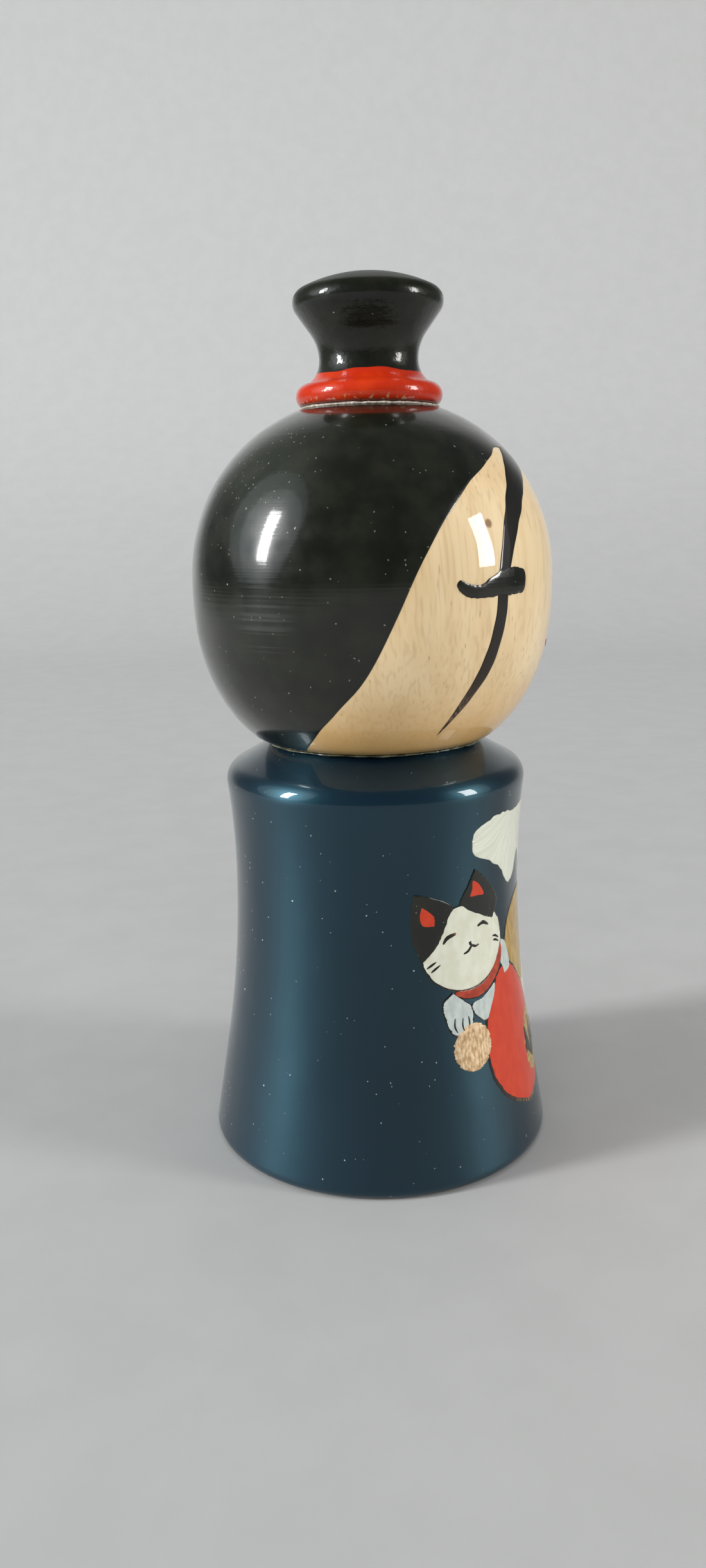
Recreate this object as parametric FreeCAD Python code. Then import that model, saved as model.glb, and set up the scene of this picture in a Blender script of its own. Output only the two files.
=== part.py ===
"""A turned wooden kokeshi doll, 120 mm tall, as an assembly of the pieces that a turner makes.

The doll has five wooden pieces, all of them round about the upright axis:

body         the robe, a waisted drum with a domed shoulder, a flat neck seat and a peg socket
head         a squarish ball that is faced flat below, for the neck, and above, for the topknot
topknot      the flared knot of hair and the round ring at its foot, turned from one blank
neck_peg     a plain dowel, glued into the head, which turns in the body's socket
topknot_peg  a thinner dowel, glued into the head and the topknot

Millimetres. +Z is up and the doll faces -Y. The origin is on the axis, in the plane that the doll
stands on. A piece is a closed outline in the plane of X (the radius) and Z, turned about Z.
"""

import FreeCAD
import Part
import math
import os

# Body, from the foot upwards.
FOOT_EASE = 1.2  # radius that eases the edge that the doll stands on
RIM_WIDTH = 5.0  # flat ring that touches the table
UNDERSIDE_HOLLOW = 0.8  # depth of the hollow inside that ring
FLANK_LEAN = 9.6  # degrees that the straight lower flank leans from upright
FLANK_ARC = 160.0  # radius that carries the flank up into the waist
WAIST_RADIUS = 20.35
WAIST_Z = 40.5
SHOULDER_STANDOUT = 0.8  # how much wider the shoulder is than the waist, in radius
SHOULDER_ABOVE_WAIST = 12.8  # up to the level at which the shoulder is widest
SHOULDER_EASE = 2.7  # radius that rolls the shoulder over
SEAT_RADIUS = 14.0  # flat seat that carries the head
SEAT_ABOVE_SHOULDER = 5.6

# Head. Above and below its widest level it is a superellipse that reaches the flat face there.
HEAD_RADIUS = 24.62
HEAD_ABOVE_SEAT = 21.6  # from the body's seat to the head's widest level
LOWER_POWER = 2.4  # two is an ellipse, and more is squarer
UPPER_POWER = 2.1
FACE_OVERHANG = 2.1  # how much wider the head's lower face is than the seat, in radius
FACE_EASE = 0.8  # radius that eases the edge of that face
CROWN_ABOVE_EQUATOR = 22.6  # from the head's widest level to the flat under the topknot
CROWN_MARGIN = 0.9  # how far that flat reaches past the ring's foot
TURNING_GAP = 0.1  # between the body's seat and the head

# Topknot, from its foot upwards.
RING_SECTION = 1.6  # radius of the ring's round section
RING_STANDOUT = 1.6  # from the stem's radius to the middle of that section
STEM_RADIUS = 6.6
STEM_ABOVE_RING = 3.0  # from the ring's top to the thinnest level
STEM_ARC = 5.8  # radius that carries the stem up into the flare
FLARE_LEAN = 36.0  # degrees that the flare leans from upright
FLARE_REACH = 3.35  # how much wider the brim is than the stem, in radius
BRIM_EASE = 1.9
DOME_RADIUS = 20.8  # radius of the low dome that closes the top

# Pegs and their holes.
NECK_PEG_RADIUS = 5.0
NECK_PEG_IN_HEAD = 16.0
NECK_PEG_IN_BODY = 22.0
TOPKNOT_PEG_RADIUS = 3.0
TOPKNOT_PEG_IN_HEAD = 9.0
TOPKNOT_PEG_IN_KNOT = 8.0
PEG_CHAMFER = 0.8
HOLE_CHAMFER = 0.6
END_CLEARANCE = 1.0  # room between a peg's end and the floor of its hole
RUNNING_CLEARANCE = 0.05  # radial, where the peg turns in the body
GLUE_CLEARANCE = 0.05  # radial, where a peg is glued in
DRILL_POINT = 118.0  # degrees across the cone that a drill leaves

# Radii and levels that follow from the sizes above.
SHOULDER_RADIUS = WAIST_RADIUS + SHOULDER_STANDOUT
SHOULDER_Z = WAIST_Z + SHOULDER_ABOVE_WAIST
SEAT_Z = SHOULDER_Z + SEAT_ABOVE_SHOULDER
FACE_RADIUS = SEAT_RADIUS + FACE_OVERHANG
FACE_Z = SEAT_Z + TURNING_GAP
EQUATOR_Z = SEAT_Z + HEAD_ABOVE_SEAT
CROWN_Z = EQUATOR_Z + CROWN_ABOVE_EQUATOR
RING_CENTRE = STEM_RADIUS + RING_STANDOUT
CROWN_RADIUS = RING_CENTRE + CROWN_MARGIN
STEM_Z = CROWN_Z + 2 * RING_SECTION + STEM_ABOVE_RING

HEAD_STEPS = 12  # steps along each half of the head's curve


def point(radius, height):
    return FreeCAD.Vector(radius, 0, height)


def line(start, end):
    return Part.LineSegment(start, end).toShape()


def arc(start, middle, end):
    return Part.Arc(start, middle, end).toShape()


def on_circle(centre, radius, degrees):
    """The point of a circle that lies this many degrees above the outward direction."""
    turn = math.radians(degrees)
    return point(centre.x + radius * math.cos(turn), centre.z + radius * math.sin(turn))


def arc_about(centre, radius, first, last):
    """The arc of a circle between two directions, each in degrees above outward."""
    start, middle, end = (on_circle(centre, radius, turn) for turn in (first, (first + last) / 2, last))
    return arc(start, middle, end)


def turned(edges):
    """The solid that a closed outline sweeps about the Z axis."""
    face = Part.Face(Part.Wire(Part.sortEdges(edges)[0]))
    solid = face.revolve(FreeCAD.Vector(0, 0, 0), FreeCAD.Vector(0, 0, 1), 360)
    if solid.Volume < 0:
        solid.reverse()
    return solid


def closed_through(corners):
    """Straight edges that join the corners in turn and close the outline."""
    return [line(a, b) for a, b in zip(corners, corners[1:] + corners[:1])]


def drilled_hole(radius, depth, mouth_z, direction):
    """A drill's shape, going up from mouth_z or down: a chamfered mouth, the bore and the drill's point."""
    tip = radius / math.tan(math.radians(DRILL_POINT / 2))
    mouth = radius + HOLE_CHAMFER
    return turned(
        closed_through(
            [
                point(0, mouth_z - direction * HOLE_CHAMFER),
                point(mouth + HOLE_CHAMFER, mouth_z - direction * HOLE_CHAMFER),
                point(radius, mouth_z + direction * HOLE_CHAMFER),
                point(radius, mouth_z + direction * depth),
                point(0, mouth_z + direction * (depth + tip)),
            ]
        )
    )


def peg(radius, low_z, high_z):
    """A dowel with both ends chamfered."""
    return turned(
        closed_through(
            [
                point(0, low_z),
                point(radius - PEG_CHAMFER, low_z),
                point(radius, low_z + PEG_CHAMFER),
                point(radius, high_z - PEG_CHAMFER),
                point(radius - PEG_CHAMFER, high_z),
                point(0, high_z),
            ]
        )
    )


def body():
    """The robe: an eased foot, a leaning flank, a hollow waist, a rolled shoulder and a sloping top."""
    lean = math.radians(FLANK_LEAN)
    flank_centre = point(WAIST_RADIUS + FLANK_ARC, WAIST_Z)
    flank_top = on_circle(flank_centre, FLANK_ARC, 180 + FLANK_LEAN)

    # The foot's easing touches the ground and the straight flank.
    foot_reach = (FOOT_EASE - (flank_top.z - FOOT_EASE) * math.sin(lean)) / math.cos(lean)
    foot_centre = point(flank_top.x - foot_reach, FOOT_EASE)

    # The waist's upper arc touches the waist and the shoulder's roll.
    rise = SHOULDER_ABOVE_WAIST
    roll_radius = SHOULDER_RADIUS - SHOULDER_EASE
    inset = WAIST_RADIUS - roll_radius
    waist_arc = (rise**2 + inset**2 - SHOULDER_EASE**2) / (2 * (SHOULDER_EASE - inset))
    waist_centre = point(WAIST_RADIUS + waist_arc, WAIST_Z)
    roll_centre = point(roll_radius, SHOULDER_Z)
    meeting = math.degrees(math.atan2(rise, waist_centre.x - roll_radius))

    # The sloping top leaves the seat's edge and touches the shoulder's roll.
    seat_edge = point(SEAT_RADIUS, SEAT_Z)
    away = seat_edge - roll_centre
    slope_turn = math.degrees(math.atan2(away.z, away.x) - math.acos(SHOULDER_EASE / away.Length))

    rim_inner = foot_centre.x - RIM_WIDTH
    outline = [
        arc_about(foot_centre, FOOT_EASE, -90, FLANK_LEAN),
        line(on_circle(foot_centre, FOOT_EASE, FLANK_LEAN), flank_top),
        arc_about(flank_centre, FLANK_ARC, 180 + FLANK_LEAN, 180),
        arc_about(waist_centre, waist_arc, 180, 180 - meeting),
        arc_about(roll_centre, SHOULDER_EASE, -meeting, slope_turn),
        line(on_circle(roll_centre, SHOULDER_EASE, slope_turn), seat_edge),
        line(seat_edge, point(0, SEAT_Z)),
        line(point(0, SEAT_Z), point(0, UNDERSIDE_HOLLOW)),
        arc(
            point(0, UNDERSIDE_HOLLOW),
            point(rim_inner / 2, UNDERSIDE_HOLLOW * 3 / 4),
            point(rim_inner, 0),
        ),
        line(point(rim_inner, 0), point(foot_centre.x, 0)),
    ]
    socket_depth = NECK_PEG_IN_BODY + END_CLEARANCE
    return turned(outline).cut(
        drilled_hole(NECK_PEG_RADIUS + RUNNING_CLEARANCE, socket_depth, SEAT_Z, -1)
    )


def half_head(face_radius, face_z, power):
    """Points of the head's curve from its widest level to a flat face, closer together near the face."""
    reach = face_z - EQUATOR_Z
    share_at_face = (1 - (face_radius / HEAD_RADIUS) ** power) ** (1 / power)
    points = []
    for step in range(HEAD_STEPS + 1):
        share = math.sin(step / HEAD_STEPS * math.pi / 2)
        radius = HEAD_RADIUS * (1 - (share * share_at_face) ** power) ** (1 / power)
        points.append(point(radius, EQUATOR_Z + share * reach))
    return points


def head():
    """A ball with squared cheeks, faced flat above and below and drilled for both pegs."""
    lower = half_head(FACE_RADIUS, FACE_Z, LOWER_POWER)
    upper = half_head(CROWN_RADIUS, CROWN_Z, UPPER_POWER)
    side = Part.BSplineCurve()
    side.interpolate(lower[:0:-1] + upper)
    ball = turned(
        [
            line(point(0, FACE_Z), lower[-1]),
            side.toShape(),
            line(upper[-1], point(0, CROWN_Z)),
            line(point(0, CROWN_Z), point(0, FACE_Z)),
        ]
    )
    face_edge = [
        edge
        for edge in ball.Edges
        if isinstance(edge.Curve, Part.Circle) and abs(edge.Curve.Center.z - FACE_Z) < 1e-6
    ]
    ball = ball.makeFillet(FACE_EASE, face_edge)
    neck_hole = drilled_hole(NECK_PEG_RADIUS + GLUE_CLEARANCE, NECK_PEG_IN_HEAD + END_CLEARANCE, FACE_Z, 1)
    crown_hole = drilled_hole(
        TOPKNOT_PEG_RADIUS + GLUE_CLEARANCE, TOPKNOT_PEG_IN_HEAD + END_CLEARANCE, CROWN_Z, -1
    )
    return ball.cut(neck_hole).cut(crown_hole)


def topknot():
    """A round ring, a thin stem, a leaning flare, an eased brim and a low dome, all in one piece."""
    ring_centre = point(RING_CENTRE, CROWN_Z + RING_SECTION)
    stem = point(STEM_RADIUS, STEM_Z)

    # The hollow below the stem starts on the ring, at the ring's highest point.
    hollow_arc = (STEM_ABOVE_RING**2 + RING_STANDOUT**2) / (2 * RING_STANDOUT)
    hollow_centre = point(stem.x + hollow_arc, stem.z)
    hollow_turn = math.degrees(math.atan2(STEM_ABOVE_RING, hollow_arc - RING_STANDOUT))

    flare_centre = point(stem.x + STEM_ARC, stem.z)
    flare_foot = on_circle(flare_centre, STEM_ARC, 180 - FLARE_LEAN)

    # The brim's easing touches the flare and reaches the brim's radius.
    brim_r = STEM_RADIUS + FLARE_REACH - BRIM_EASE
    lean = math.radians(FLARE_LEAN)
    run = (brim_r + BRIM_EASE * math.cos(lean) - flare_foot.x) / math.sin(lean)
    brim_centre = point(brim_r, flare_foot.z + run * math.cos(lean) + BRIM_EASE * math.sin(lean))

    # The dome touches the brim's easing from inside, so the two centres lie on one normal.
    dome_turn = math.degrees(math.acos(brim_r / (DOME_RADIUS - BRIM_EASE)))
    dome_centre = point(0, brim_centre.z - (DOME_RADIUS - BRIM_EASE) * math.sin(math.radians(dome_turn)))

    outline = [
        line(point(0, CROWN_Z), on_circle(ring_centre, RING_SECTION, -90)),
        arc_about(ring_centre, RING_SECTION, -90, 90),
        arc_about(hollow_centre, hollow_arc, 180 + hollow_turn, 180),
        arc_about(flare_centre, STEM_ARC, 180, 180 - FLARE_LEAN),
        line(flare_foot, on_circle(brim_centre, BRIM_EASE, -FLARE_LEAN)),
        arc_about(brim_centre, BRIM_EASE, -FLARE_LEAN, dome_turn),
        arc_about(dome_centre, DOME_RADIUS, dome_turn, 90),
        line(on_circle(dome_centre, DOME_RADIUS, 90), point(0, CROWN_Z)),
    ]
    hole = drilled_hole(TOPKNOT_PEG_RADIUS + GLUE_CLEARANCE, TOPKNOT_PEG_IN_KNOT + END_CLEARANCE, CROWN_Z, 1)
    return turned(outline).cut(hole)


def neck_peg():
    """The dowel that carries the head. Its lower end turns in the body's socket."""
    return peg(NECK_PEG_RADIUS, SEAT_Z - NECK_PEG_IN_BODY, FACE_Z + NECK_PEG_IN_HEAD)


def topknot_peg():
    """The dowel that fixes the topknot on the crown."""
    return peg(TOPKNOT_PEG_RADIUS, CROWN_Z - TOPKNOT_PEG_IN_HEAD, CROWN_Z + TOPKNOT_PEG_IN_KNOT)


PIECES = {
    "body": body,
    "head": head,
    "topknot": topknot,
    "neck_peg": neck_peg,
    "topknot_peg": topknot_peg,
}

os.makedirs("parts", exist_ok=True)
for name, make in PIECES.items():
    shape = make()
    solid = shape.Solids[0]
    if len(shape.Solids) != 1 or not solid.isValid():
        raise ValueError(f"{name} is not one valid solid")
    solid.exportStep(f"parts/{name}.step")
    box = solid.optimalBoundingBox()
    print(f"{name}: {solid.Volume:.0f} mm3, radius {box.XMax:.2f}, z {box.ZMin:.2f} to {box.ZMax:.2f}")
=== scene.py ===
"""A turned wooden kokeshi doll with a painted robe, set on a pale studio sweep.

Metres, in the frame of the turned parts: +Z is up, the doll faces -Y, and all the wood is turned about Z.
A bearing is in degrees around the doll, 0 at its front and positive towards +X, its own left.
"""

import math

import bpy
import numpy as np
from mathutils import Matrix, Vector


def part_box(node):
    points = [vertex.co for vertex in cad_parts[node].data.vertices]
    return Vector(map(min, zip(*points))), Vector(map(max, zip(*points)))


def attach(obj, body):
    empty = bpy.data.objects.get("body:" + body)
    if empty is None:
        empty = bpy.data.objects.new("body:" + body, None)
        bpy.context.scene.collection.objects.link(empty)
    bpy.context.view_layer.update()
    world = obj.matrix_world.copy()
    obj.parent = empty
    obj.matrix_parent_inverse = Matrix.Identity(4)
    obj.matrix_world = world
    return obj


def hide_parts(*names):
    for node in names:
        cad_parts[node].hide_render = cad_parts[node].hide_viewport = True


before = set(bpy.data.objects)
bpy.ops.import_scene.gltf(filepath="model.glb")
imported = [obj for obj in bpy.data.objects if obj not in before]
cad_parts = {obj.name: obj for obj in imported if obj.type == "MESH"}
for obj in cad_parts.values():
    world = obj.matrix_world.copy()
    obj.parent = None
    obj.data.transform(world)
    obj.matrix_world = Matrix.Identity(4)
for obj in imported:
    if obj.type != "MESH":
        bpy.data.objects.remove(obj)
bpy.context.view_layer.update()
MM = 0.001

# ---- Camera ----
# A phone held close to the doll's right side, a little above its eyes and dipped towards its waist.

CAMERA_BEARING = -82.0
CAMERA_REACH = 164.0 * MM
CAMERA_HEIGHT = 89.8 * MM
CAMERA_DIP = 13.12
CAMERA_SWING = 1.115  # aims this far to the left of the doll's axis
CAMERA_TILT = 1.137  # leans this far from level
CAMERA_LENS = 26.85

around = Matrix.Rotation(math.radians(CAMERA_BEARING), 4, "Z")
swing = Matrix.Rotation(math.radians(CAMERA_SWING), 4, "Z")
downward = Matrix.Rotation(math.radians(90 - CAMERA_DIP), 4, "X")
tilt = Matrix.Rotation(math.radians(-CAMERA_TILT), 4, "Z")
camera_data = bpy.data.cameras.new("phone")
camera_data.lens = CAMERA_LENS
camera_data.clip_start = 0.01
camera = bpy.data.objects.new("phone", camera_data)
held_at = around @ Matrix.Translation((0, -CAMERA_REACH, CAMERA_HEIGHT))
camera.matrix_world = held_at @ swing @ downward @ tilt
bpy.context.scene.collection.objects.link(camera)
bpy.context.scene.camera = camera
bpy.context.scene.view_settings.view_transform = "Standard"


# ---- Sweep and lights ----
# A pale paper sweep runs level under the doll and curves up behind it. A tall soft light stands at each side,
# with wide dim ones around it, and two weak ones from the front and above only fill the shadows.

SWEEP_WIDTH = 2.4
SWEEP_FRONT = 2.2
SWEEP_BACK = 0.55
SWEEP_CURVE = 0.60
SWEEP_HEIGHT = 2.2


def sweep_sheet():
    """Level paper, then a quarter circle, then a wall; the same profile all along the width."""
    turn = np.linspace(0, math.pi / 2, 24)
    back = SWEEP_BACK + SWEEP_CURVE
    depth = np.concatenate([[-SWEEP_FRONT, 0.0], SWEEP_BACK + SWEEP_CURVE * np.sin(turn), [back]])
    height = np.concatenate([[0.0, 0.0], SWEEP_CURVE * (1 - np.cos(turn)), [SWEEP_HEIGHT]])
    sides = np.array([-SWEEP_WIDTH / 2, SWEEP_WIDTH / 2])
    grid = np.stack(np.broadcast_arrays(sides[None, :], depth[:, None], height[:, None]), -1)
    rows = np.arange(len(depth) - 1) * 2
    faces = np.stack([rows, rows + 1, rows + 3, rows + 2], -1)
    mesh = bpy.data.meshes.new("paper_sweep")
    mesh.from_pydata(grid.reshape(-1, 3).tolist(), [], faces.tolist())
    mesh.polygons.foreach_set("use_smooth", [True] * len(faces))
    mesh.transform(around)
    return bpy.data.objects.new("paper_sweep", mesh)


def plain_material(name, constants):
    """A Principled material with these constants on its sockets, and its tree and shader."""
    material = bpy.data.materials.new(name)
    material.use_nodes = True
    shader = material.node_tree.nodes["Principled BSDF"]
    for socket, value in constants.items():
        shader.inputs[socket].default_value = value
    return material, material.node_tree, shader


def node(tree, kind, sockets=None, **settings):
    """A node with its settings, and with its sockets linked to an output or set to a value."""
    made = tree.nodes.new("ShaderNode" + kind)
    for key, value in settings.items():
        setattr(made, key, value)
    for key, value in (sockets or {}).items():
        if isinstance(value, bpy.types.NodeSocket):
            tree.links.new(value, made.inputs[key])
        else:
            made.inputs[key].default_value = value
    return made


def mixed(tree, share, first, second):
    """The colour that is first where share is 0 and second where it is 1."""
    made = node(tree, "Mix", data_type="RGBA")
    for index, value in ((0, share), (6, first), (7, second)):
        if isinstance(value, bpy.types.NodeSocket):
            tree.links.new(value, made.inputs[index])
        else:
            made.inputs[index].default_value = value
    return made.outputs[2]


def ranged(tree, value, low_edge, high_edge, low_out=0.0, high_out=1.0):
    """Value carried smoothly from one range to another and held at the ends."""
    sockets = {"Value": value, "From Min": low_edge, "From Max": high_edge}
    sockets |= {"To Min": low_out, "To Max": high_out}
    return node(tree, "MapRange", sockets, interpolation_type="SMOOTHSTEP").outputs["Result"]


def sums(tree, operation, first, second, third=None):
    """One arithmetic step on numbers."""
    sockets = {0: first, 1: second} if third is None else {0: first, 1: second, 2: third}
    return node(tree, "Math", sockets, operation=operation).outputs[0]


def noise(tree, place, scale=1.0, detail=2.0, roughness=0.5):
    """Soft random numbers, mostly from 0.3 to 0.7, with about scale features to a metre."""
    sockets = {"Vector": place, "Scale": scale, "Detail": detail, "Roughness": roughness}
    return node(tree, "TexNoise", sockets).outputs["Fac"]


def height_of(tree, place):
    """The height of a place above the floor."""
    return node(tree, "SeparateXYZ", {"Vector": place}).outputs["Z"]


def along_way(tree, place, way):
    """How far a place lies along a direction."""
    return node(tree, "VectorMath", {0: place, 1: tuple(way)}, operation="DOT_PRODUCT").outputs["Value"]


def soft_light(name, bearing, height, reach, size, power, colour, dip=0.0, shape="RECTANGLE"):
    """A flat panel at a bearing from the camera's side of the doll, facing the doll's axis but dipped."""
    data = bpy.data.lights.new(name, "AREA")
    data.shape = shape
    data.size, data.size_y = size
    data.energy = power
    data.color = colour
    light = bpy.data.objects.new(name, data)
    turn = Matrix.Rotation(math.radians(CAMERA_BEARING + bearing), 4, "Z")
    face = Matrix.Rotation(math.radians(90 - dip), 4, "X")
    light.matrix_world = turn @ Matrix.Translation((0, -reach, height)) @ face
    bpy.context.scene.collection.objects.link(light)
    return light


# The paper is painted a little paler where it rises behind the doll, a painted light, and painted dark at its
# sides, where the lights stand close to it, a painted shade. It is also faintly mottled all over.
NEAR_PAPER = (0.383, 0.383, 0.378, 1)
FAR_PAPER_PAINTED_LIGHT = (0.415, 0.415, 0.41, 1)
RISEN_PAPER_PAINTED_LIGHT = (0.44, 0.44, 0.435, 1)
SIDE_PAPER_PAINTED_SHADE = (0.10, 0.10, 0.10, 1)
MOTTLED_PAPER = (0.8, 0.8, 0.8, 1)
paper, tree, shader = plain_material("pale_paper", {"Roughness": 0.8, "Specular IOR Level": 0.2})
place = node(tree, "TexCoord").outputs["Object"]
depth = along_way(tree, place, around.to_3x3() @ Vector((0, 1, 0)))
side = along_way(tree, place, around.to_3x3() @ Vector((1, 0, 0)))
deeper_painted_light = mixed(tree, ranged(tree, depth, 0.0, 0.75), NEAR_PAPER, FAR_PAPER_PAINTED_LIGHT)
higher_painted_light = mixed(tree, ranged(tree, height_of(tree, place), 0.01, 0.22), deeper_painted_light, RISEN_PAPER_PAINTED_LIGHT)
toned = mixed(tree, ranged(tree, sums(tree, "ABSOLUTE", side, 0.0), 0.40, 1.05), higher_painted_light, SIDE_PAPER_PAINTED_SHADE)
mottle = ranged(tree, noise(tree, place, 70.0, 6.0, 0.6), 0.35, 0.65, 0.0, 0.035)
tree.links.new(mixed(tree, mottle, toned, MOTTLED_PAPER), shader.inputs["Base Color"])

sweep = sweep_sheet()
sweep.data.materials.append(paper)
bpy.context.scene.collection.objects.link(sweep)

# A tall strip on the left stands in front of three glowing ovals, one inside the other, and a wide haze.
COOL, COOLER = (0.86, 0.96, 1.0), (0.84, 0.96, 1.0)
soft_light("left_strip", -72.0, 0.95, 2.20, (0.34, 1.05), 54.0, (1.0, 1.0, 1.0), dip=22.0)
for size, power in (((1.9, 2.4), 9.0), ((1.45, 1.95), 6.0), ((1.0, 1.5), 4.0)):
    soft_light("left_glow", -72.0, 1.08, 2.35, size, power, COOL, dip=20.0, shape="ELLIPSE")
soft_light("left_haze", -78.0, 1.55, 2.50, (2.80, 3.20), 13.0, COOLER, dip=15.0, shape="ELLIPSE")
soft_light("right_strip", 75.0, 0.76, 2.20, (0.46, 1.00), 31.5, (1.0, 0.98, 0.95), dip=16.0)
soft_light("right_haze", 80.0, 1.00, 2.40, (1.50, 1.80), 4.0, (1.0, 0.98, 0.96), dip=15.0)
front = soft_light("front_fill", 0.0, 1.10, 1.60, (1.6, 1.0), 8.5, (1.0, 1.0, 0.99), dip=32.0)
overhead = soft_light("overhead_fill", 0.0, 1.60, 0.0, (1.6, 1.6), 11.0, (1.0, 1.0, 1.0), dip=90.0)
for fill in (front, overhead):
    fill.visible_glossy = False  # it only softens the shadows

world = bpy.data.worlds.new("room")
world.use_nodes = True
room_light = world.node_tree.nodes["Background"]
room_light.inputs["Color"].default_value = (0.80, 0.90, 1.0, 1)
room_light.inputs["Strength"].default_value = 0.10
bpy.context.scene.world = world


# ---- Robe ----
# The body is one beech turning with an eased foot, a leaning flank, a waist and a rolled shoulder.
# It is painted dark blue, dipped in clear lacquer, and socketed on top for the head's peg.

FOOT_EASE = 1.2 * MM
RIM_WIDTH = 5.0 * MM
UNDERSIDE_HOLLOW = 0.8 * MM
FLANK_LEAN = 9.6
FLANK_ARC = 160.0 * MM
WAIST_RADIUS = 20.35 * MM
WAIST_Z = 40.5 * MM
SHOULDER_RADIUS = 21.15 * MM
SHOULDER_Z = 53.3 * MM
SHOULDER_EASE = 2.7 * MM
SEAT_RADIUS = 14.0 * MM
SEAT_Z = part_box("body")[1].z
PEG_FIT = 0.05 * MM
HOLE_CHAMFER = 0.6 * MM
PEG_END_ROOM = 1.0 * MM
DRILL_SLOPE = math.tan(math.radians(31))
TURNS = 288  # steps around a turned piece


def arc_points(centre, radius, first, last, steps=24):
    """Points of a circle in the plane of radius and height, between two angles in degrees above outward."""
    turn = np.radians(np.linspace(first, last, steps))
    return np.stack([centre[0] + radius * np.cos(turn), centre[1] + radius * np.sin(turn)], -1)


def hole_points(radius, mouth, end):
    """A drilled hole's side from its chamfered mouth to the point that the drill leaves past its end."""
    way = 1 if end > mouth else -1
    tip = end + way * radius * DRILL_SLOPE
    chamfered = [(radius + HOLE_CHAMFER, mouth), (radius, mouth + way * HOLE_CHAMFER)]
    return np.array([*chamfered, (radius, end), (0, tip)])


def evened(path, step):
    """The same path with points a step apart along its length, keeping both ends."""
    along = np.concatenate([[0], np.cumsum(np.hypot(*np.diff(path, axis=0).T))])
    wanted = np.linspace(0, along[-1], int(along[-1] / step) + 1)
    return np.stack([np.interp(wanted, along, path[:, 0]), np.interp(wanted, along, path[:, 1])], -1)


def closed_skin(name, rings, tips=None, values=None):
    """A closed surface in which each ring of points joins the next in quads.

    A fan closes each end at its tip. Without tips the last ring joins the first instead. If the faces turn
    out to enclose a negative volume, they are all turned over, so they face outwards.
    values gives named numbers, one for each ring point and then one for each tip.
    """
    rows, columns = rings.shape[:2]
    points = rings.reshape(-1, 3)
    here = np.arange(columns)
    beside = np.roll(here, -1)
    start = np.arange(rows if tips is None else rows - 1)[:, None] * columns
    after = (start + columns) % (rows * columns)
    faces = [np.stack([start + here, start + beside, after + beside, after + here], -1).reshape(-1, 4)]
    if tips is not None:
        last = (rows - 1) * columns
        points = np.concatenate([points, tips])
        faces += [np.stack([beside, here, np.full(columns, rows * columns)], -1),
                  np.stack([last + here, last + beside, np.full(columns, rows * columns + 1)], -1)]
    corners = np.concatenate([faces[0][:, [0, 1, 2]], faces[0][:, [0, 2, 3]]] + faces[1:])
    a, b, c = points[corners[:, 0]], points[corners[:, 1]], points[corners[:, 2]]
    if np.einsum("ij,ij->i", a, np.cross(b, c)).sum() < 0:
        faces = [face[:, ::-1] for face in faces]
    mesh = bpy.data.meshes.new(name)
    mesh.from_pydata(points.tolist(), [], [face for group in faces for face in group.tolist()])
    mesh.polygons.foreach_set("use_smooth", [True] * len(mesh.polygons))
    for key, numbers in (values or {}).items():
        mesh.attributes.new(key, "FLOAT", "POINT").data.foreach_set("value", np.asarray(numbers, np.float32))
    piece = bpy.data.objects.new(name, mesh)
    bpy.context.scene.collection.objects.link(piece)
    return piece


def turned(name, path, values=None):
    """The surface that a path of (radius, height) sweeps about Z; the path starts and ends on the axis."""
    turn = np.linspace(0, 2 * math.pi, TURNS, endpoint=False)
    radius, height = path[1:-1, 0, None], path[1:-1, 1, None]
    rings = np.stack(np.broadcast_arrays(radius * np.sin(turn), -radius * np.cos(turn), height), -1)
    spread = {k: np.concatenate([np.repeat(v[1:-1], TURNS), v[[0, -1]]]) for k, v in (values or {}).items()}
    return closed_skin(name, rings, [(0, 0, path[0, 1]), (0, 0, path[-1, 1])], spread)


def robe_path():
    """Foot arc, straight flank, long waist arc, a second arc out to the shoulder's roll, slope and seat."""
    lean_angle = math.radians(FLANK_LEAN)
    flank_centre = (WAIST_RADIUS + FLANK_ARC, WAIST_Z)
    flank_top = arc_points(flank_centre, FLANK_ARC, 180 + FLANK_LEAN, 180, 2)[0]
    reach = (FOOT_EASE - (flank_top[1] - FOOT_EASE) * math.sin(lean_angle)) / math.cos(lean_angle)
    foot_centre = (flank_top[0] - reach, FOOT_EASE)
    rise = SHOULDER_Z - WAIST_Z
    roll = SHOULDER_RADIUS - SHOULDER_EASE
    inset = WAIST_RADIUS - roll
    upper_arc = (rise**2 + inset**2 - SHOULDER_EASE**2) / (2 * (SHOULDER_EASE - inset))
    meeting = math.degrees(math.atan2(rise, WAIST_RADIUS + upper_arc - roll))
    away = (SEAT_RADIUS - roll, SEAT_Z - SHOULDER_Z)
    slope = math.degrees(math.atan2(away[1], away[0]) - math.acos(SHOULDER_EASE / math.hypot(*away)))
    rim_inner = foot_centre[0] - RIM_WIDTH
    hollow = np.linspace(0, 1, 12)
    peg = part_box("neck_peg")
    return np.concatenate([
        np.stack([rim_inner * hollow, UNDERSIDE_HOLLOW * (1 - hollow**2)], -1),
        arc_points(foot_centre, FOOT_EASE, -90, FLANK_LEAN),
        arc_points(flank_centre, FLANK_ARC, 180 + FLANK_LEAN, 180, 60),
        arc_points((WAIST_RADIUS + upper_arc, WAIST_Z), upper_arc, 180, 180 - meeting, 40),
        arc_points((roll, SHOULDER_Z), SHOULDER_EASE, -meeting, slope, 40),
        [(SEAT_RADIUS, SEAT_Z)],
        hole_points(peg[1].x + PEG_FIT, SEAT_Z, peg[0].z - PEG_END_ROOM),
    ])


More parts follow.
